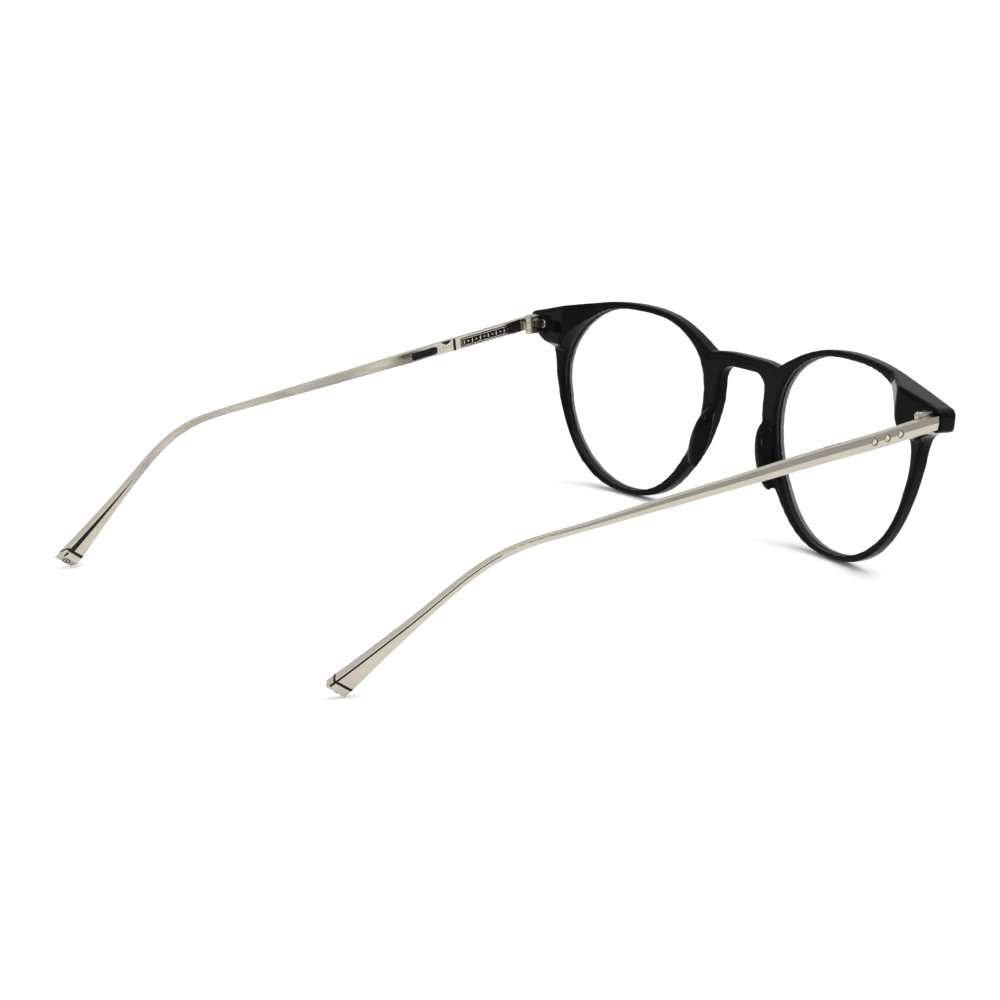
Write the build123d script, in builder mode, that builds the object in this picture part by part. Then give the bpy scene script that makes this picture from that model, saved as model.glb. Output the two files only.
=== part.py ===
from build123d import *
from math import asin, cos, radians, sin, tan
import os

# Millimetres. The wearer's left is +X, the temples run towards +Y and +Z is up.
# Every piece is drawn with the front upright, its bridge at the origin, and is laid down
# at the end so that the rims and the temple tips stand on one flat surface.

# Front
face_radius = 387.0  # curve of the front, seen from above
rim_thickness = 3.4
endpiece_back = 8.0  # distance of the endpieces' back plane behind the bridge
endpiece_side = 70.5
lens_centre = (36.07, 1.04)
opening_radii = (23.3, 24.4, 22.95, 21.3, 23.15, 24.9, 22.9, 21.2, 21.4, 21.3, 21.4, 22.05)
corner_rounds = (1.8, 1.3)
notch_round = 0.7
keyhole_half_width = 7.7
keyhole_top = 14.45
keyhole_round = 3.6

ramp_start = 51.0
ramp_end = 57.4
slope_low = 6.9
slope_high = 11.2

# Lenses
lens_radius = 300.0
lens_thickness = 1.4
lens_setting = 2.85  # from the rim's back to the middle of the lens's front
groove_depth = 0.45

# Nose pads
pad_centre = (11.3, -0.1, -3.6)
pad_half_length = 8.0
pad_half_width = 2.9
pad_lean = 17.0

# Hinges
hinge_centre = (67.35, 10.4, 14.6)
temple_pitch = 11.9  # the temples slope down towards their tips
barrel_radius = 1.1
barrel_half_height = 2.1
middle_half_height = 0.9
knuckle_gap = 0.06
block_width = 2.1
block_height = 4.5
block_depth = 2.0
screw_head_radius = 0.85
screw_head_height = 0.35
rivet_place = (65.1, 15.2)
rivet_radius = 1.05
rivet_depth = 0.8
rivet_proud = 0.15
screw_radius = 0.6
screw_clearance = 0.05
leaf_reach = 1.7
leaf_length = 1.7
end_gap = 0.12

# Temples
temple_start = (69.6, 8.15, 15.13)
converging = 3.3  # degrees, towards each other
straight_length = 95.2
bend_radius = 38.0
bend_angle = 30.3
tip_drift = 8.9  # degrees, towards each other after the bend begins
# distance from the front end, height, thickness, height of the upper facet
temple_sections = (
    (-0.5, 2.8, 1.8, 1.35),
    (8.0, 3.05, 1.8, 1.45),
    (25.0, 2.85, 1.8, 1.35),
    (45.0, 2.45, 1.75, 1.1),
    (62.0, 2.05, 1.65, 0.85),
    (78.0, 1.6, 1.55, 0.6),
    (90.0, 1.3, 1.5, 0.4),
    (100.0, 1.3, 1.5, 0.3),
    (108.0, 1.35, 1.5, 0.25),
    (115.3, 1.45, 1.5, 0.25),
    (124.0, 1.8, 1.55, 0.25),
    (131.0, 2.5, 1.65, 0.25),
    (137.0, 3.3, 1.75, 0.25),
    (142.0, 4.1, 1.85, 0.25),
    (150.0, 5.1, 2.0, 0.25),
)
upper_setback = 0.3
lower_setback = 0.18

# Trim on the temples, by distance from the front end
stud_places = (10.2, 13.7, 17.1)
stud_height = 0.08
stud_radius = 0.6
dimple_radius = 0.85
dimple_depth = 0.35
badge_span = (5.9, 23.1)
badge_height = 2.3
mark_count = 13
mark_pitch = 1.25
mark_proud = 0.05
border_inset = 0.25
border_width = 0.13
inlay_span = (30.3, 38.1)
inlay_height = 1.85
inlay_depth = 0.3
band_spans = ((4.2, 5.1), (24.6, 25.4))
wedge_span = (25.9, 28.9)

# Tips
cap_start = 143.7  # at the upper outer edge
cap_end = 145.8
band_width = 0.5
end_lean = (-0.32, -0.5)  # lean of the end planes: upwards, outwards
ring_radius = 0.85

tip_corner = (2.2, 0.93)  # the upper outer edge from the tip's middle line
ring_width = 0.18
ring_depth = 0.15
ring_dot_radius = 0.22

stand_angle = 5.33


bend_length = bend_radius * radians(bend_angle)
knuckle_low = middle_half_height + knuckle_gap


def back_depth(x):
    return x * x / (2 * face_radius)


def outline_edges():
    with BuildLine() as outline:
        top = Spline((0, 17.8), (5.0, 17.75), (9.0, 17.4), (11.2, 16.8), tangents=((1, 0), (0.9, -0.43)))
        Spline(
            top @ 1, (15.7, 19.3), (21.1, 21.75), (27.5, 23.5), (36.5, 24.15), (46.1, 23.4),
            (55.0, 21.5), (63.0, 19.5), (endpiece_side, 17.6),
        )
        Line((endpiece_side, 17.6), (endpiece_side, 12.9))
        Spline(
            (endpiece_side, 12.9), (66.4, 12.0), (64.2, 10.6), (63.0, 7.9), (62.5, 5.0), (61.4, 0.6),
            (59.0, -5.8), (55.6, -11.8), (51.0, -16.8), (44.5, -20.4), (36.5, -21.65), (30.0, -21.1),
            (24.0, -19.0), (18.6, -14.8), (14.6, -10.1), (11.6, -5.6), (9.4, -0.4), (7.9, 5.0),
            (keyhole_half_width, keyhole_top - keyhole_round),
        )
        keyhole = JernArc(
            (keyhole_half_width, keyhole_top - keyhole_round), (0, 1), keyhole_round, 90
        )
        Polyline(keyhole @ 1, (0, keyhole_top), (0, 17.8))
    return outline.edges()


def opening_edges(margin=0):
    points = []
    for step, radius in enumerate(opening_radii):
        angle = radians(30 * step)
        reach = radius + margin
        points.append((lens_centre[0] + reach * cos(angle), lens_centre[1] + reach * sin(angle)))
    with BuildLine() as opening:
        Spline(*points, periodic=True)
    return opening.edges()


# Lens
lens_tilt = asin(lens_centre[0] / face_radius)
back_direction = Vector(-sin(lens_tilt), cos(lens_tilt), 0)
lens_front = Vector(lens_centre[0], back_depth(lens_centre[0]), lens_centre[1]) - back_direction * lens_setting
sphere_centre = lens_front + back_direction * lens_radius

with BuildPart() as lens_left:
    with BuildSketch(Plane.XZ.offset(-9)):
        make_face(opening_edges(groove_depth))
    extrude(amount=16)
    with Locations(Plane(origin=sphere_centre, z_dir=-back_direction)):
        Sphere(lens_radius, mode=Mode.INTERSECT)
        Sphere(lens_radius - lens_thickness, mode=Mode.SUBTRACT)

# Region behind a curve of the face, as a slab seen from above
def behind_face(setback, depth):
    ends = [(side * 85, face_radius - ((face_radius + setback) ** 2 - 85**2) ** 0.5) for side in (-1, 1)]
    with BuildLine() as region:
        ThreePointArc(ends[0], (0, -setback), ends[1])
        Polyline(ends[1], (85, depth), (-85, depth), ends[0])
    return region.edges()


# Front frame: a slab cut to the outline and to the curve of the face
with BuildPart() as front_half:
    with BuildSketch(Plane.XZ.offset(-endpiece_back)):
        make_face(outline_edges())
    extrude(amount=endpiece_back + 6)
    with BuildSketch(Plane.XY.offset(-30)):
        make_face(behind_face(rim_thickness, 30))
    extrude(amount=60, mode=Mode.INTERSECT)
    # The back is hollowed to the rim's thickness, up to a ramp before each endpiece
    with BuildSketch(Plane.XY.offset(-30)):
        make_face(behind_face(0, 30))
        with BuildLine():
            Polyline(
                (-2, -2), (ramp_start, -2), (ramp_start, back_depth(ramp_start)),
                (ramp_end, endpiece_back), (ramp_end, 12), (-2, 12), close=True,
            )
        make_face(mode=Mode.INTERSECT)
    extrude(amount=60, mode=Mode.SUBTRACT)

# Below the endpiece the rim is thin again, after a slope
with BuildPart() as lower_pocket:
    with BuildSketch(Plane.XY.offset(-30)):
        make_face(behind_face(0, 30))
    extrude(amount=60)
    with BuildSketch(Plane.YZ.offset(ramp_start - 2)):
        with BuildLine():
            Polyline(
                (0, -28), (0, slope_low), (endpiece_back, slope_high), (12, slope_high), (12, -28),
                close=True,
            )
        make_face()
    extrude(amount=30, mode=Mode.INTERSECT)

with BuildPart() as front_frame:
    add(front_half.part)
    add(lower_pocket.part, mode=Mode.SUBTRACT)
    mirror(about=Plane.YZ)
    with BuildSketch(Plane.XZ.offset(-12)):
        make_face(opening_edges())
        mirror(about=Plane.YZ)
    extrude(amount=24, mode=Mode.SUBTRACT)
    add(lens_left.part, mode=Mode.SUBTRACT)
    mirror(lens_left.part, about=Plane.YZ, mode=Mode.SUBTRACT)
    across = front_frame.edges().filter_by(Axis.Y)
    fillet(across.filter_by(lambda edge: abs(edge.center().X) > 70 and edge.center().Z > 16), corner_rounds[0])
    across = front_frame.edges().filter_by(Axis.Y)
    fillet(across.filter_by(lambda edge: abs(edge.center().X) > 70 and edge.center().Z < 14), corner_rounds[1])
    across = front_frame.edges().filter_by(Axis.Y)
    fillet(across.filter_by(lambda edge: 10 < abs(edge.center().X) < 12), notch_round)
    for side in (-1, 1):
        with BuildSketch(Plane.XZ.offset(-endpiece_back - 1)):
            with Locations((side * rivet_place[0], rivet_place[1])):
                Circle(rivet_radius)
        extrude(amount=1 + rivet_depth, mode=Mode.SUBTRACT, clean=False)
        with BuildSketch(Plane.XZ.offset(-endpiece_back - 1)):
            with Locations((side * hinge_centre[0], hinge_centre[2])):
                RectangleRounded(block_width, block_height, 0.5)
        extrude(amount=1 + block_depth, mode=Mode.SUBTRACT, clean=False)

# Nose pad: half an egg behind the nasal side of the rim
with BuildPart() as nose_pad_left:
    pad_plane = Plane(
        origin=pad_centre,
        x_dir=(-sin(radians(pad_lean)), 0, cos(radians(pad_lean))),
        z_dir=(0, -1, 0),
    )
    with BuildSketch(pad_plane):
        Ellipse(pad_half_length, pad_half_width)
        with Locations((0, -pad_half_width)):
            Rectangle(3 * pad_half_length, 2 * pad_half_width, mode=Mode.SUBTRACT)
    revolve(axis=Axis(pad_centre, -pad_plane.x_dir), revolution_arc=180)
    with BuildSketch(Plane.XY.offset(-30)):
        make_face(behind_face(0, 30))
    extrude(amount=60, mode=Mode.INTERSECT)
    with BuildSketch(Plane.XZ.offset(-12)):
        make_face(opening_edges())
    extrude(amount=24, mode=Mode.SUBTRACT)

# Rivet head in the endpiece
with BuildPart() as endpiece_rivet_left:
    with BuildSketch(Plane.XZ.offset(-endpiece_back + rivet_depth)):
        with Locations(rivet_place):
            Circle(rivet_radius)
    extrude(amount=-rivet_depth - rivet_proud)
    fillet(endpiece_rivet_left.edges().sort_by(Axis.Y)[-1], rivet_proud * 0.9)

# Hinge: the axis leans back with the slope of the temples
axis_direction = (0, sin(radians(temple_pitch)), cos(radians(temple_pitch)))
hinge_plane = Plane(origin=hinge_centre, x_dir=(1, 0, 0), z_dir=axis_direction)

with BuildPart() as hinge_block_left:
    # two barrels, each with a web towards the endpiece
    for low in (-barrel_half_height, knuckle_low):
        with BuildSketch(hinge_plane.offset(low)):
            Circle(barrel_radius)
            with Locations((0, -2)):
                Rectangle(2 * barrel_radius, 4)
        extrude(amount=barrel_half_height - knuckle_low)
    with BuildSketch(hinge_plane.offset(-5)):
        Circle(screw_radius)
    extrude(amount=10, mode=Mode.SUBTRACT)
    with BuildSketch(Plane.XZ.offset(-endpiece_back)):
        with Locations((hinge_centre[0], hinge_centre[2])):
            Rectangle(20, 20)
    extrude(amount=-20, mode=Mode.INTERSECT)
    # the block set in the endpiece
    with BuildSketch(Plane.XZ.offset(-endpiece_back)):
        with Locations((hinge_centre[0], hinge_centre[2])):
            RectangleRounded(block_width, block_height, 0.5)
    extrude(amount=block_depth)

# Hinge screw: a shaft through the barrels with a flat slotted head
with BuildPart() as hinge_screw_left:
    with BuildSketch(hinge_plane.offset(-barrel_half_height)):
        Circle(screw_radius)
    extrude(amount=2 * barrel_half_height)
    with BuildSketch(hinge_plane.offset(barrel_half_height)):
        Circle(screw_head_radius)
    extrude(amount=screw_head_height)
    with BuildSketch(hinge_plane.offset(barrel_half_height + screw_head_height)):
        Rectangle(4, 0.22)
    extrude(amount=-0.2, mode=Mode.SUBTRACT)


# Middle line of a temple: the plane across it at a distance from its front end,
# with x upwards and y outwards
def across_temple(distance):
    bent = min(max(distance - straight_length, 0), bend_length)
    after = max(distance - straight_length - bend_length, 0)
    straight = min(distance, straight_length)
    turned = radians(bent / bend_length * bend_angle)
    along = straight + bend_radius * sin(turned) + after * cos(turned)
    down = bend_radius * (1 - cos(turned)) + after * sin(turned)
    slope = radians(temple_pitch)
    inward = along * tan(radians(converging)) + (bent + after) * tan(radians(tip_drift))
    origin = Vector(
        temple_start[0] - inward,
        temple_start[1] + along * cos(slope) - down * sin(slope),
        temple_start[2] - along * sin(slope) - down * cos(slope),
    )
    steep = slope + turned
    turn_in = radians(converging) + (radians(tip_drift) if distance > straight_length else 0)
    direction = Vector(-tan(turn_in), cos(steep), -sin(steep))
    upward = Vector(0, sin(steep), cos(steep))
    return Plane(origin=origin, x_dir=upward, z_dir=direction)


# Five-sided section: flat inside, a ridge between two facets outside
def temple_profile(height, thickness, facet):
    top = height / 2
    outside = thickness / 2
    with BuildLine() as profile:
        Polyline(
            (-top, -outside), (top, -outside), (top, outside - upper_setback * facet / 1.45),
            (top - facet, outside), (-top, outside - lower_setback), close=True,
        )
    return profile.edges()


with BuildPart() as temple_whole:
    for distance, height, thickness, facet in temple_sections:
        with BuildSketch(across_temple(distance)):
            make_face(temple_profile(height, thickness, facet))
    loft()
    # the front end stands flat against the endpiece
    with BuildSketch(Plane.XZ.offset(-endpiece_back - end_gap)):
        with Locations((temple_start[0], temple_start[2])):
            Rectangle(12, 12)
    extrude(amount=8, mode=Mode.SUBTRACT)

front_end = across_temple(0)
along = front_end.z_dir
outward = front_end.y_dir
half_thickness = temple_sections[0][2] / 2
inner_face = Plane(origin=front_end.origin - outward * half_thickness, x_dir=along, z_dir=-outward)
outer_face = Plane(origin=front_end.origin + outward * half_thickness, x_dir=along, z_dir=outward)


# Middle leaf of the hinge, fixed to the temple
with BuildPart() as temple_leaf_left:
    with BuildSketch(hinge_plane.offset(-middle_half_height)):
        Circle(barrel_radius)
        with Locations((leaf_reach / 2, leaf_length / 2)):
            Rectangle(leaf_reach, leaf_length)
        Circle(screw_radius + screw_clearance, mode=Mode.SUBTRACT)
    extrude(amount=2 * middle_half_height)
    add(temple_whole.part, mode=Mode.SUBTRACT)

# Black plate along the inner face, with a thin border and a row of plain marks
badge_middle = (badge_span[0] + badge_span[1]) / 2
badge_length = badge_span[1] - badge_span[0]

with BuildPart() as badge_plate_left:
    with BuildSketch(inner_face.offset(1)):
        with Locations((badge_middle, 0)):
            RectangleRounded(badge_length, badge_height, 0.3)
    extrude(amount=-inlay_depth - 1)
    add(temple_whole.part, mode=Mode.INTERSECT)

with BuildPart() as badge_marks_left:
    with BuildSketch(inner_face):
        with Locations((badge_middle, 0)):
            RectangleRounded(badge_length - 2 * border_inset, badge_height - 2 * border_inset, 0.2)
            border_hole = border_inset + border_width
            Rectangle(badge_length - 2 * border_hole, badge_height - 2 * border_hole, mode=Mode.SUBTRACT)
        for number in range(mark_count):
            place = badge_middle + (number - (mark_count - 1) / 2) * mark_pitch
            with Locations((place, 0)):
                if number % 2:
                    Circle(0.19)
                else:
                    SlotOverall(0.95, 0.24, rotation=90)
    extrude(amount=mark_proud)
    add(temple_whole.part, mode=Mode.SUBTRACT)

# Black enamel: a long inlay, two bands across the inner face and a small wedge
with BuildPart() as enamel_inlay_left:
    with BuildSketch(inner_face.offset(1)):
        with Locations(((inlay_span[0] + inlay_span[1]) / 2, 0)):
            RectangleRounded(inlay_span[1] - inlay_span[0], inlay_height, 0.75)
    extrude(amount=-inlay_depth - 1)
    add(temple_whole.part, mode=Mode.INTERSECT)

with BuildPart() as enamel_bands_left:
    with BuildSketch(inner_face.offset(1)):
        for span in band_spans:
            with Locations(((span[0] + span[1]) / 2, 0)):
                Rectangle(span[1] - span[0], 6)
    extrude(amount=-inlay_depth - 1)
    add(temple_whole.part, mode=Mode.INTERSECT)

with BuildPart() as enamel_wedge_left:
    with BuildSketch(inner_face.offset(1)):
        with BuildLine():
            Polyline(
                (wedge_span[0], -3), (wedge_span[0], -1.3), (wedge_span[0] + 1.4, -0.55),
                (wedge_span[1], -1.25), (wedge_span[1], -3), close=True,
            )
        make_face()
    extrude(amount=-inlay_depth - 1)
    add(temple_whole.part, mode=Mode.INTERSECT)

# Three studs in dimples on the outer face
with BuildPart() as dimples:
    with BuildSketch(outer_face.offset(1)):
        with Locations(*[(place, stud_height) for place in stud_places]):
            Circle(dimple_radius)
    extrude(amount=-1 - dimple_depth)

with BuildPart() as stud_set_left:
    with BuildSketch(outer_face.offset(-dimple_depth)):
        with Locations(*[(place, stud_height) for place in stud_places]):
            Circle(stud_radius)
    extrude(amount=dimple_depth)
    fillet(stud_set_left.edges().filter_by_position(Axis(outer_face.origin, outward), -0.1, 0.1), 0.18)


# Slanted plane across the tip, through its upper outer edge at a distance
def across_tip(distance):
    here = across_temple(distance)
    edge = here.origin + here.x_dir * tip_corner[0] + here.y_dir * tip_corner[1]
    normal = here.z_dir + here.x_dir * end_lean[0] + here.y_dir * end_lean[1]
    return Plane(origin=edge, x_dir=here.y_dir.cross(normal), z_dir=normal)


with BuildPart() as tip_band_left:
    add(temple_whole.part)
    split(bisect_by=across_tip(cap_start), keep=Keep.TOP)
    split(bisect_by=across_tip(cap_start + band_width), keep=Keep.BOTTOM)

with BuildPart() as tip_cap_left:
    add(temple_whole.part)
    split(bisect_by=across_tip(cap_start + band_width), keep=Keep.TOP)
    split(bisect_by=across_tip(cap_end), keep=Keep.BOTTOM)

end_plane = across_tip(cap_end)
end_middle = across_temple(cap_end - tip_corner[1] * 0.5 - tip_corner[0] * 0.32).origin
ring_plane = Plane(origin=end_middle, x_dir=end_plane.x_dir, z_dir=end_plane.z_dir)
with BuildPart() as tip_ring_left:
    with BuildSketch(ring_plane.offset(-ring_depth)):
        Circle(ring_radius)
        Circle(ring_radius - ring_width, mode=Mode.SUBTRACT)
        Circle(ring_dot_radius)
    extrude(amount=ring_depth)
tip_cap_left.part -= tip_ring_left.part

with BuildPart() as temple_left:
    add(temple_whole.part)
    split(bisect_by=across_tip(cap_start), keep=Keep.BOTTOM)
    for inlaid in (badge_plate_left, enamel_inlay_left, enamel_bands_left, enamel_wedge_left, dimples):
        add(inlaid.part, mode=Mode.SUBTRACT)

left_pieces = {
    "lens": lens_left, "nose_pad": nose_pad_left, "endpiece_rivet": endpiece_rivet_left,
    "hinge_block": hinge_block_left, "hinge_screw": hinge_screw_left, "temple": temple_left,
    "temple_leaf": temple_leaf_left, "badge_plate": badge_plate_left, "badge_marks": badge_marks_left,
    "enamel_inlay": enamel_inlay_left, "enamel_bands": enamel_bands_left,
    "enamel_wedge": enamel_wedge_left, "stud_set": stud_set_left, "tip_band": tip_band_left,
    "tip_cap": tip_cap_left, "tip_ring": tip_ring_left,
}
pieces = {"front_frame": front_frame.part}
for name, builder in left_pieces.items():
    pieces[name + "_left"] = builder.part
    pieces[name + "_right"] = builder.part.mirror(Plane.YZ)

# Standing: the front leans back to the angle at which rims and tips share one flat surface
tilted = {name: piece.rotate(Axis.X, stand_angle) for name, piece in pieces.items()}
box = Compound(list(tilted.values())).bounding_box()
settle = Vector(0, -box.center().Y, -box.min.Z)
os.makedirs("parts", exist_ok=True)
for name, piece in tilted.items():
    standing = piece.translate(settle)
    standing.label = name
    export_step(standing, f"parts/{name}.step")
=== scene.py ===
import math
import bpy
import bmesh
from mathutils import Matrix, Vector
from mathutils.bvhtree import BVHTree


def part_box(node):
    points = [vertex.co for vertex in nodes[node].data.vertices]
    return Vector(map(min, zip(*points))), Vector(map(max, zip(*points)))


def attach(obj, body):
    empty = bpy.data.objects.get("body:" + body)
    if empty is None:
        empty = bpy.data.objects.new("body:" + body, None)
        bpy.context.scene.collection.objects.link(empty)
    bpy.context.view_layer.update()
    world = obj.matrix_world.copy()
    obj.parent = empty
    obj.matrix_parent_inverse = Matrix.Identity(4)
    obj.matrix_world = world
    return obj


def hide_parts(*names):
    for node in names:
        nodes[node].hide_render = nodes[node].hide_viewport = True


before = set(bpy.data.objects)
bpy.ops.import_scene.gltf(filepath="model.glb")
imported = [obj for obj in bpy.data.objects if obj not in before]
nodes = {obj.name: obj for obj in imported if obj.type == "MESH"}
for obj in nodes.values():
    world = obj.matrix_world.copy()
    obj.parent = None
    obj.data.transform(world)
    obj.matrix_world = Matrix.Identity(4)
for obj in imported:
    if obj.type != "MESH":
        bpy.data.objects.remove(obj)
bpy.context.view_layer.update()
sides = ("left", "right")
print("frame loaded:", len(nodes), "nodes")


# every length below is in metres and every angle in degrees
def newMaterial(name):
    material = bpy.data.materials.new(name)
    material.use_nodes = True
    tree = material.node_tree
    shader = tree.nodes["Principled BSDF"]
    return material, tree, shader


def objectCoords(tree, scale=(1, 1, 1)):
    coords = tree.nodes.new("ShaderNodeTexCoord")
    mapping = tree.nodes.new("ShaderNodeMapping")
    mapping.inputs["Scale"].default_value = scale
    tree.links.new(coords.outputs["Object"], mapping.inputs["Vector"])
    return mapping.outputs["Vector"]


def noise(tree, vector, scale, detail=3.0, roughness=0.5):
    node = tree.nodes.new("ShaderNodeTexNoise")
    node.inputs["Scale"].default_value = scale
    node.inputs["Detail"].default_value = detail
    node.inputs["Roughness"].default_value = roughness
    tree.links.new(vector, node.inputs["Vector"])
    return node.outputs["Fac"]


def mapRange(tree, value, low, high, fromLow=0.35, fromHigh=0.65):
    node = tree.nodes.new("ShaderNodeMapRange")
    node.inputs["From Min"].default_value = fromLow
    node.inputs["From Max"].default_value = fromHigh
    node.inputs["To Min"].default_value = low
    node.inputs["To Max"].default_value = high
    tree.links.new(value, node.inputs["Value"])
    return node.outputs["Result"]


def colourRamp(tree, value, first, second, firstAt=0.3, secondAt=0.7):
    node = tree.nodes.new("ShaderNodeValToRGB")
    node.color_ramp.elements[0].position = firstAt
    node.color_ramp.elements[0].color = (*first, 1)
    node.color_ramp.elements[1].position = secondAt
    node.color_ramp.elements[1].color = (*second, 1)
    tree.links.new(value, node.inputs["Fac"])
    return node.outputs["Color"]


def bump(tree, height, strength, distance, normal=None):
    node = tree.nodes.new("ShaderNodeBump")
    node.inputs["Strength"].default_value = strength
    node.inputs["Distance"].default_value = distance
    tree.links.new(height, node.inputs["Height"])
    if normal is not None:
        tree.links.new(normal, node.inputs["Normal"])
    return node.outputs["Normal"]


# black acetate: cloudy in colour, wiped in gloss, with a soft wave and a fine grain
acetateLook = dict(
    dark=(0.0016, 0.0016, 0.0019), light=(0.0034, 0.0034, 0.0038), cloud=90.0,
    gloss=(0.07, 0.13), wipe=600.0, wipeStretch=(1, 1, 3), ior=1.49, shine=0.06,
    wave=dict(scale=160.0, strength=0.12, distance=0.0004),
    grain=dict(scale=4200.0, strength=0.03, distance=0.00005),
)


def makeAcetate():
    look, wave, grain = acetateLook, acetateLook["wave"], acetateLook["grain"]
    material, tree, shader = newMaterial("polishedAcetate")
    vector = objectCoords(tree)
    cloud = noise(tree, vector, look["cloud"])
    colour = colourRamp(tree, cloud, look["dark"], look["light"])
    tree.links.new(colour, shader.inputs["Base Color"])
    wipe = noise(tree, objectCoords(tree, look["wipeStretch"]), look["wipe"], detail=4.0)
    tree.links.new(mapRange(tree, wipe, *look["gloss"]), shader.inputs["Roughness"])
    waveHeight = noise(tree, vector, wave["scale"], detail=1.0)
    grainHeight = noise(tree, vector, grain["scale"], detail=2.0)
    soft = bump(tree, waveHeight, wave["strength"], wave["distance"])
    fine = bump(tree, grainHeight, grain["strength"], grain["distance"], soft)
    tree.links.new(fine, shader.inputs["Normal"])
    shader.inputs["IOR"].default_value = look["ior"]
    shader.inputs["Specular IOR Level"].default_value = look["shine"]
    return material


# pale metal: one pair of tones, stretched and polished differently on each piece
metalLook = dict(
    warm=(0.52, 0.485, 0.405), cool=(0.465, 0.44, 0.38),
    grain=dict(scale=900.0, detail=4.0, roughness=0.6, strength=0.08, distance=0.00003),
    temple=dict(stretch=(1, 0.08, 1), gloss=(0.10, 0.19), tint=1.0),
    hinge=dict(stretch=(1, 1, 0.2), gloss=(0.25, 0.38), tint=0.85),
    bright=dict(stretch=(1, 1, 1), gloss=(0.1, 0.18), tint=1.05),
)


def makeMetal(name, polish):
    grain = metalLook["grain"]
    material, tree, shader = newMaterial(name)
    vector = objectCoords(tree, polish["stretch"])
    height = noise(tree, vector, grain["scale"], grain["detail"], grain["roughness"])
    warm = tuple(v * polish["tint"] for v in metalLook["warm"])
    cool = tuple(v * polish["tint"] for v in metalLook["cool"])
    tree.links.new(colourRamp(tree, height, warm, cool), shader.inputs["Base Color"])
    tree.links.new(mapRange(tree, height, *polish["gloss"]), shader.inputs["Roughness"])
    fine = bump(tree, height, grain["strength"], grain["distance"])
    tree.links.new(fine, shader.inputs["Normal"])
    shader.inputs["Metallic"].default_value = 1.0
    return material


enamelLook = dict(
    dark=(0.004, 0.004, 0.005), light=(0.012, 0.012, 0.013), gloss=(0.14, 0.28), shine=0.12,
    speck=dict(scale=1500.0, strength=0.1, distance=0.00004),
)


def makeEnamel():
    look, speck = enamelLook, enamelLook["speck"]
    material, tree, shader = newMaterial("blackEnamel")
    height = noise(tree, objectCoords(tree), speck["scale"], detail=2.0)
    colour = colourRamp(tree, height, look["dark"], look["light"])
    tree.links.new(colour, shader.inputs["Base Color"])
    tree.links.new(mapRange(tree, height, *look["gloss"]), shader.inputs["Roughness"])
    fine = bump(tree, height, speck["strength"], speck["distance"])
    tree.links.new(fine, shader.inputs["Normal"])
    shader.inputs["Specular IOR Level"].default_value = look["shine"]
    return material


lensLook = dict(colour=(0.93, 0.95, 1.0), alpha=0.13, ior=1.5, haze=(0.0, 0.03), cloud=40.0)


def makeLensGlass():
    look = lensLook
    material, tree, shader = newMaterial("clearLens")
    cloud = noise(tree, objectCoords(tree), look["cloud"], detail=2.0)
    tree.links.new(mapRange(tree, cloud, *look["haze"]), shader.inputs["Roughness"])
    shader.inputs["Base Color"].default_value = (*look["colour"], 1)
    shader.inputs["IOR"].default_value = look["ior"]
    shader.inputs["Transmission Weight"].default_value = 1.0
    shader.inputs["Alpha"].default_value = look["alpha"]
    return material


acetate = makeAcetate()
templeMetal = makeMetal("templeMetal", metalLook["temple"])
hingeMetal = makeMetal("hingeMetal", metalLook["hinge"])
brightMetal = makeMetal("brightMetal", metalLook["bright"])
enamel = makeEnamel()
lensGlass = makeLensGlass()
print("materials made")


# how the meshes of the nodes are joined, cleaned and shaded
meshing = dict(weld=1e-6, flatWithin=0.4, bevelFrom=25.0, bevelSharp=35.0, facetSharp=10.0)


def addPiece(name, mesh):
    data = bpy.data.meshes.new(name)
    mesh.to_mesh(data)
    mesh.free()
    piece = bpy.data.objects.new(name, data)
    bpy.context.scene.collection.objects.link(piece)
    return piece


def copyMesh(pieceName, *nodeNames):
    mesh = bmesh.new()
    for name in nodeNames:
        mesh.from_mesh(nodes[name].data)
    bmesh.ops.remove_doubles(mesh, verts=mesh.verts, dist=meshing["weld"])
    return addPiece(pieceName, mesh)


def applyModifiers(piece):
    graph = bpy.context.evaluated_depsgraph_get()
    data = bpy.data.meshes.new_from_object(piece.evaluated_get(graph))
    piece.modifiers.clear()
    piece.data = data


def roundOver(piece, voxel, passes):  # one even skin, its edges worn round
    remesh = piece.modifiers.new("remesh", "REMESH")
    remesh.mode = "VOXEL"
    remesh.voxel_size = voxel
    remesh.use_smooth_shade = True
    soften = piece.modifiers.new("soften", "SMOOTH")
    soften.factor = 0.5
    soften.iterations = passes
    applyModifiers(piece)
    piece.data.shade_smooth()


def breakEdges(piece, width):  # a narrow bevel along the sharp edges
    mesh = bmesh.new()
    mesh.from_mesh(piece.data)
    bmesh.ops.remove_doubles(mesh, verts=mesh.verts, dist=meshing["weld"])
    bmesh.ops.dissolve_limit(mesh, angle_limit=math.radians(meshing["flatWithin"]),
                             verts=mesh.verts, edges=mesh.edges)
    mesh.to_mesh(piece.data)
    mesh.free()
    bevel = piece.modifiers.new("bevel", "BEVEL")
    bevel.width = width
    bevel.segments = 2
    bevel.limit_method = "ANGLE"
    bevel.angle_limit = math.radians(meshing["bevelFrom"])
    applyModifiers(piece)
    piece.data.shade_smooth()
    piece.data.set_sharp_from_angle(angle=math.radians(meshing["bevelSharp"]))


def smoothFacets(piece):
    piece.data.shade_smooth()
    piece.data.set_sharp_from_angle(angle=math.radians(meshing["facetSharp"]))


def dress(piece, material):
    piece.data.materials.clear()
    piece.data.materials.append(material)


front = dict(voxel=0.00028, passes=28)

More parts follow.
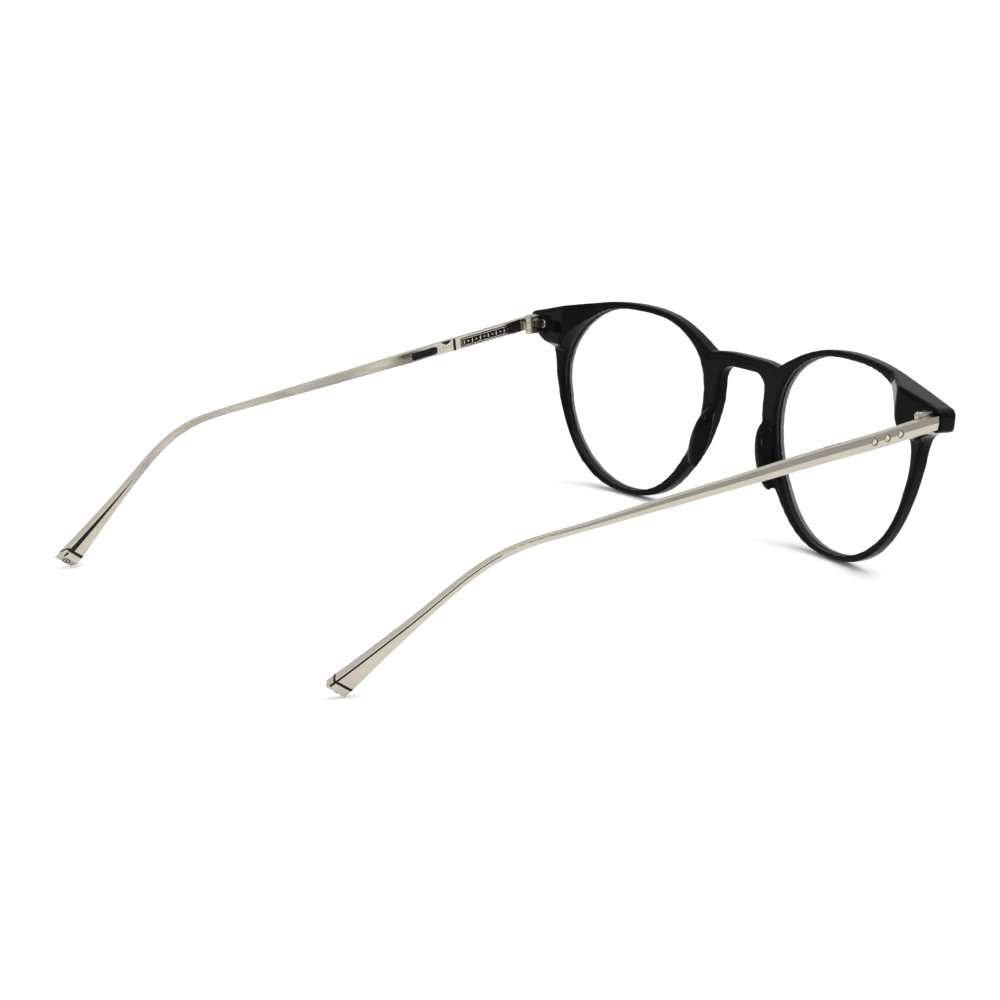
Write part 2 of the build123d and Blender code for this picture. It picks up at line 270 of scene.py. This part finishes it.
# the pads are bonded to the rims and polished with them, so they share one skin
frontPiece = copyMesh("frontRim", "front_frame", "nose_pad_left", "nose_pad_right")
roundOver(frontPiece, front["voxel"], front["passes"])
dress(frontPiece, acetate)
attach(frontPiece, "front")
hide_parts("front_frame", "nose_pad_left", "nose_pad_right")
for side in sides:
    dress(nodes[f"lens_{side}"], lensGlass)
print("front made")


# edges of the metal pieces, and how far the tip's ring stands off the rounded cap
trim = dict(capVoxel=0.0001, capPasses=14, leafEdge=0.0001, blockEdge=0.00015,
            screwEdge=0.00008, ringProud=0.00008)
brightTrim = ("endpiece_rivet", "stud_set", "badge_marks")
enamelTrim = ("badge_plate", "enamel_inlay", "enamel_bands", "enamel_wedge", "tip_band")


def polishedNode(name, material, slotName, body, finish, *sizes):
    piece = copyMesh(name + "_polished", name)
    finish(piece, *sizes)
    dress(piece, material)
    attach(piece, body)
    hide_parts(name)


def proudRing(side, body):
    ring = copyMesh(f"tip_ring_{side}_proud", f"tip_ring_{side}")
    corners = ring.data.vertices
    ringCentre = sum((v.co for v in corners), Vector()) / len(corners)
    capCentre = sum(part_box(f"tip_cap_{side}"), Vector()) / 2
    for vertex in corners:
        vertex.co += (ringCentre - capCentre).normalized() * trim["ringProud"]
    dress(ring, enamel)
    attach(ring, body)
    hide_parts(f"tip_ring_{side}")


for side in sides:
    body = f"temple_{side}_body"
    polishedNode(f"temple_{side}", templeMetal, "temple_metal", body, smoothFacets)
    polishedNode(f"tip_cap_{side}", templeMetal, "temple_metal", body,
                 roundOver, trim["capVoxel"], trim["capPasses"])
    polishedNode(f"temple_leaf_{side}", hingeMetal, "hinge_metal", body,
                 breakEdges, trim["leafEdge"])
    polishedNode(f"hinge_block_{side}", hingeMetal, "hinge_metal", "front",
                 breakEdges, trim["blockEdge"])
    polishedNode(f"hinge_screw_{side}", brightMetal, "hinge_metal", "front",
                 breakEdges, trim["screwEdge"])
    for name in brightTrim:
        dress(nodes[f"{name}_{side}"], brightMetal)
    for name in enamelTrim:
        dress(nodes[f"{name}_{side}"], enamel)
    proudRing(side, body)
print("temples made")


# the temple's middle line: it leaves the front, dips, closes in and bends down to the tip
temple = dict(start=(0.0696, 0.00815, 0.01513), pitch=11.9, converging=3.3, drift=8.9,
              straight=0.0952, bendRadius=0.038, bendAngle=30.3,
              standAngle=5.33, settle=(-0.070392, 0.021724))
# each black line: where it starts and ends along the temple, its width at each end
# and how far it lies below the upper edge; the inner lines are enamel, the outer line is a
# painted reflection
enamelAndPaintedReflectionLines = dict(
    # painted reflection: the outer line is no groove but the dark room mirrored in the polished
    # bevel along the upper-outer edge, painted as a black strip
    outer=dict(start=0.106, end=0.1454, widthStart=0.00016, widthEnd=0.00046, drop=0.00020),
    inner=dict(start=0.121, end=0.1427, widthStart=0.00010, widthEnd=0.00115, drop=0.00045),
    innerCap=dict(start=0.1434, end=0.1446, widthStart=0.00060, widthEnd=0.00030, drop=0.00045),
)
stripFit = dict(proud=0.00003, sunk=0.00025, steps=36, reach=0.008, offCentre=0.0004)


def templePlace(side, distance):  # the point at that distance, and the way up there
    straight, radius = temple["straight"], temple["bendRadius"]
    bendLength = radius * math.radians(temple["bendAngle"])
    bent = min(max(distance - straight, 0), bendLength)
    after = max(distance - straight - bendLength, 0)
    turned = math.radians(bent / bendLength * temple["bendAngle"])
    along = min(distance, straight) + radius * math.sin(turned) + after * math.cos(turned)
    down = radius * (1 - math.cos(turned)) + after * math.sin(turned)
    slope = math.radians(temple["pitch"])
    inward = (along * math.tan(math.radians(temple["converging"]))
              + (bent + after) * math.tan(math.radians(temple["drift"])))
    x, y, z = temple["start"]
    place = Vector((x - inward,
                    y + along * math.cos(slope) - down * math.sin(slope),
                    z - along * math.sin(slope) - down * math.cos(slope)))
    steep = slope + turned
    upward = Vector((0, math.sin(steep), math.cos(steep)))
    stand = Matrix.Rotation(math.radians(temple["standAngle"]), 3, "X")
    place = stand @ place + Vector((0, *temple["settle"]))
    upward = stand @ upward
    if side == "right":
        place.x = -place.x
    return place, upward


def surfaceOf(*names):
    mesh = bmesh.new()
    for name in names:
        mesh.from_mesh(nodes[name].data)
    surface = BVHTree.FromBMesh(mesh)
    mesh.free()
    return surface


def enamelAndPaintedReflectionStrip(side, name, face):  # a thin bar that follows the temple's own surface
    line, fit = enamelAndPaintedReflectionLines[name], stripFit
    outward = Vector((1 if side == "left" else -1, 0, 0))
    towards = outward if face == "outer" else -outward
    surface = surfaceOf(f"temple_{side}", f"tip_cap_{side}", f"tip_band_{side}")
    rows = []
    for step in range(fit["steps"] + 1):
        share = step / fit["steps"]
        place, upward = templePlace(side, line["start"] + (line["end"] - line["start"]) * share)
        width = line["widthStart"] + (line["widthEnd"] - line["widthStart"]) * share
        above = place + towards * fit["offCentre"] + upward * fit["reach"]
        top = surface.ray_cast(above, -upward)[0]
        if top is None:
            continue
        height = (top - place).dot(upward) - line["drop"]
        hits = [surface.ray_cast(place + upward * level + towards * fit["reach"], -towards)[0]
                for level in (height, height - width)]
        if None not in hits:
            high, low = hits
            rows.append([high + towards * fit["proud"], low + towards * fit["proud"],
                         low - towards * fit["sunk"], high - towards * fit["sunk"]])
    mesh = bmesh.new()
    rings = [[mesh.verts.new(point) for point in row] for row in rows]
    for before, after in zip(rings, rings[1:]):
        for corner in range(4):
            following = (corner + 1) % 4
            mesh.faces.new((before[corner], before[following], after[following], after[corner]))
    mesh.faces.new(rings[0][::-1])
    mesh.faces.new(rings[-1])
    bmesh.ops.recalc_face_normals(mesh, faces=mesh.faces)
    piece = addPiece(f"enamel_{name}_{side}", mesh)
    dress(piece, enamel)
    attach(piece, f"temple_{side}_body")


for side in sides:
    # the outer strip paints the dark reflection on the upper-outer bevel; the inner strips are
    # enamel
    enamelAndPaintedReflectionStrip(side, "outer", "outer")
    enamelAndPaintedReflectionStrip(side, "inner", "inner")
    enamelAndPaintedReflectionStrip(side, "innerCap", "inner")
print("enamel lines made")


floorSet = dict(halfSize=9.0, sunk=0.0001, dark=(0.90, 0.90, 0.90), light=(0.92, 0.92, 0.92),
                cloud=6.0, roughness=0.8)


def makeFloor():
    mesh = bmesh.new()
    bmesh.ops.create_grid(mesh, x_segments=2, y_segments=2, size=floorSet["halfSize"])
    floor = addPiece("floor", mesh)
    material, tree, shader = newMaterial("paleFloor")
    tone = noise(tree, objectCoords(tree), floorSet["cloud"], detail=2.0)
    colour = colourRamp(tree, tone, floorSet["dark"], floorSet["light"])
    tree.links.new(colour, shader.inputs["Base Color"])
    shader.inputs["Roughness"].default_value = floorSet["roughness"]
    dress(floor, material)
    floor.location.z = -floorSet["sunk"]


# an even, bright room that pales upwards, a wide soft sun and one lamp behind the wearer
studio = dict(
    horizon=0.5, zenith=0.95, brightFrom=0.0, brightTo=0.45,
    sun=dict(power=1.5, angle=60, turn=(18, -14, 0)),
    lamp=dict(place=(0.1, 0.85, 0.45), aim=(0, 0, 0.03), size=(0.22, 0.16), power=1.2),
)


def makeRoom():
    world = bpy.data.worlds.new("studio")
    world.use_nodes = True
    sky = world.node_tree
    background = sky.nodes["Background"]
    background.inputs["Color"].default_value = (1.0, 1.0, 1.0, 1)
    direction = sky.nodes.new("ShaderNodeTexCoord")
    parts = sky.nodes.new("ShaderNodeSeparateXYZ")
    sky.links.new(direction.outputs["Generated"], parts.inputs["Vector"])
    strength = mapRange(sky, parts.outputs["Z"], studio["horizon"], studio["zenith"],
                        studio["brightFrom"], studio["brightTo"])
    sky.links.new(strength, background.inputs["Strength"])
    bpy.context.scene.world = world


def addLight(name, kind, power):
    light = bpy.data.lights.new(name, kind)
    light.energy = power
    lamp = bpy.data.objects.new(name, light)
    bpy.context.scene.collection.objects.link(lamp)
    return light, lamp


makeFloor()
makeRoom()
sunSet, lampSet = studio["sun"], studio["lamp"]
sunLight, sun = addLight("skylight", "SUN", sunSet["power"])
sunLight.angle = math.radians(sunSet["angle"])
sun.rotation_euler = [math.radians(v) for v in sunSet["turn"]]
lampLight, lamp = addLight("behindWearer", "AREA", lampSet["power"])
lampLight.shape = "RECTANGLE"
lampLight.size, lampLight.size_y = lampSet["size"]
lamp.location = lampSet["place"]
lampTurn = (Vector(lampSet["aim"]) - Vector(lampSet["place"])).to_track_quat("-Z", "Y")
lamp.rotation_euler = lampTurn.to_euler()

cameraSet = dict(place=(-0.44905, 0.32384, 0.15682), turn=(75.7184, -0.2952, -126.0286),
                 lens=95.937, sensor=36.0)
cameraData = bpy.data.cameras.new("camera")
cameraData.lens = cameraSet["lens"]
cameraData.sensor_width = cameraSet["sensor"]
camera = bpy.data.objects.new("camera", cameraData)
bpy.context.scene.collection.objects.link(camera)
camera.location = cameraSet["place"]
camera.rotation_euler = [math.radians(v) for v in cameraSet["turn"]]
bpy.context.scene.camera = camera
bpy.context.scene.view_settings.view_transform = "Standard"
print("stage made")
